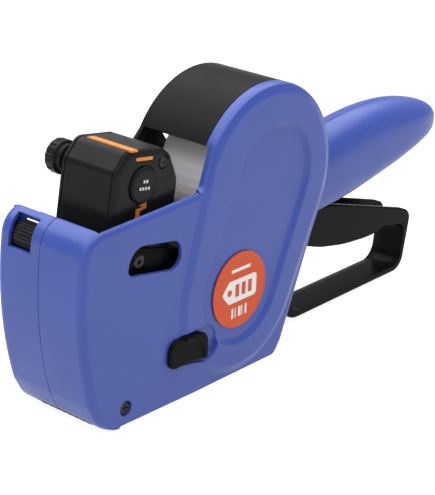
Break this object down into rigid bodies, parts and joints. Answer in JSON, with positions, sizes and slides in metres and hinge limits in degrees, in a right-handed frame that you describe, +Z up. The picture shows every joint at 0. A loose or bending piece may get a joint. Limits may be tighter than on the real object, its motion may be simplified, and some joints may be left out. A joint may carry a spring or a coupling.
{
  "type": "price labeling gun",
  "caption": "Hand-held price labeling gun: two-part casing with handle, squeeze trigger carrying a print head, label roll under a hinged hood, feed wheel and applicator roller.",
  "frame": {"origin": "centre of the bounding box at the level the gun stands on", "axes": "+X from the nose to the handle, +Y from the badge side to the knob side, +Z up"},
  "size_m": [0.2279, 0.0438, 0.1095],
  "materials": {
    "blue_plastic": "satin moulded, fine grain",
    "black_plastic": "satin moulded",
    "orange_plastic": "matt",
    "badge_print": "printed label",
    "paper": "uncoated label paper",
    "card": "wound card",
    "steel": "zinc plated",
    "dark_steel": "blackened",
    "rubber": "moulded rubber",
    "ink_foam": "inked foam"
  },
  "bodies": {
    "casing": {"left_casing": "blue_plastic", "right_casing": "blue_plastic", "casing_screw_front": "dark_steel", "casing_screw_rear": "dark_steel", "casing_screw_handle": "dark_steel", "badge_disc": "badge_print", "main_pivot_pin": "steel", "platen": "black_plastic", "label_guide": "black_plastic", "peel_plate": "steel", "roll_hub_left": "black_plastic", "roll_hub_right": "black_plastic", "hood_hinge_pin": "steel", "cover_hinge_pin": "steel", "feed_axle": "steel", "applicator_axle": "steel", "position_axle": "steel", "return_spring": "steel", "latch_spring": "steel"},
    "trigger": {"trigger_lever": "black_plastic", "lever_arm_left": "dark_steel", "lever_arm_right": "dark_steel", "arm_cross_bar": "steel", "feed_pawl": "steel", "head_housing": "black_plastic", "head_side_plate": "black_plastic", "head_far_plate": "black_plastic", "head_cap": "black_plastic", "index_bar": "orange_plastic", "index_window": "orange_plastic", "index_pointer": "orange_plastic", "head_plate_screw": "dark_steel", "head_screw_left": "dark_steel", "head_screw_right": "dark_steel", "type_bar": "steel", "print_band_1": "rubber", "print_band_2": "rubber", "print_band_3": "rubber", "print_band_4": "rubber", "print_band_5": "rubber", "print_band_6": "rubber", "ink_axle": "steel", "detent_collar": "black_plastic"},
    "ink": {"ink_roller": "ink_foam"},
    "selector": {"selector_shaft": "steel"},
    "knob": {"selector_knob": "black_plastic"},
    "hood": {"roll_hood": "black_plastic"},
    "roll": {"label_paper": "paper", "roll_core": "card"},
    "cover": {"bottom_cover": "blue_plastic"},
    "latch": {"latch_button": "black_plastic"},
    "applicator": {"applicator_roller": "rubber"},
    "position": {"position_wheel": "black_plastic"},
    "feed": {"feed_wheel": "black_plastic"}
  },
  "joints": [
    {"name": "trigger_squeeze", "type": "hinge", "parent": "casing", "child": "trigger", "pos_m": [-0.014, 0, 0.038], "axis": [0, -1, 0], "range_deg": [0, 9.5], "stiffness_Nm_per_rad": 0.8, "springref_deg": -20.05, "deforming": ["return_spring"]},
    {"name": "ink_spin", "type": "hinge", "parent": "trigger", "child": "ink", "pos_m": [-0.09215, 0, 0.06524], "axis": [0, 1, 0], "continuous": true},
    {"name": "selector_pull", "type": "slide", "parent": "trigger", "child": "selector", "axis": [0, 1, 0], "range_m": [0, 0.005]},
    {"name": "selector_turn", "type": "hinge", "parent": "selector", "child": "knob", "pos_m": [-0.08719, 0, 0.08998], "axis": [0, 1, 0], "continuous": true},
    {"name": "hood_lift", "type": "hinge", "parent": "casing", "child": "hood", "pos_m": [0.0156, 0, 0.0801], "axis": [0, 1, 0], "range_deg": [0, 85]},
    {"name": "roll_spin", "type": "hinge", "parent": "casing", "child": "roll", "pos_m": [-0.0177, 0, 0.0728], "axis": [0, 1, 0], "continuous": true},
    {"name": "cover_drop", "type": "hinge", "parent": "casing", "child": "cover", "pos_m": [-0.015, 0, 0.0044], "axis": [0, -1, 0], "range_deg": [0, 60]},
    {"name": "latch_slide", "type": "slide", "parent": "casing", "child": "latch", "axis": [1, 0, 0], "range_m": [0, 0.004], "stiffness_N_per_m": 120, "springref_m": -0.004, "deforming": ["latch_spring"]},
    {"name": "applicator_spin", "type": "hinge", "parent": "casing", "child": "applicator", "pos_m": [-0.099, 0, 0.0056], "axis": [0, 1, 0], "continuous": true},
    {"name": "position_spin", "type": "hinge", "parent": "casing", "child": "position", "pos_m": [-0.1069, 0, 0.0672], "axis": [0, 1, 0], "continuous": true},
    {"name": "feed_turn", "type": "hinge", "parent": "casing", "child": "feed", "pos_m": [-0.088, 0, 0.026], "axis": [0, 1, 0], "range_deg": [0, 90]}
  ],
  "couplings": [
    {"joint": "feed_turn", "follows": "trigger_squeeze", "ratio": 9}
  ]
}
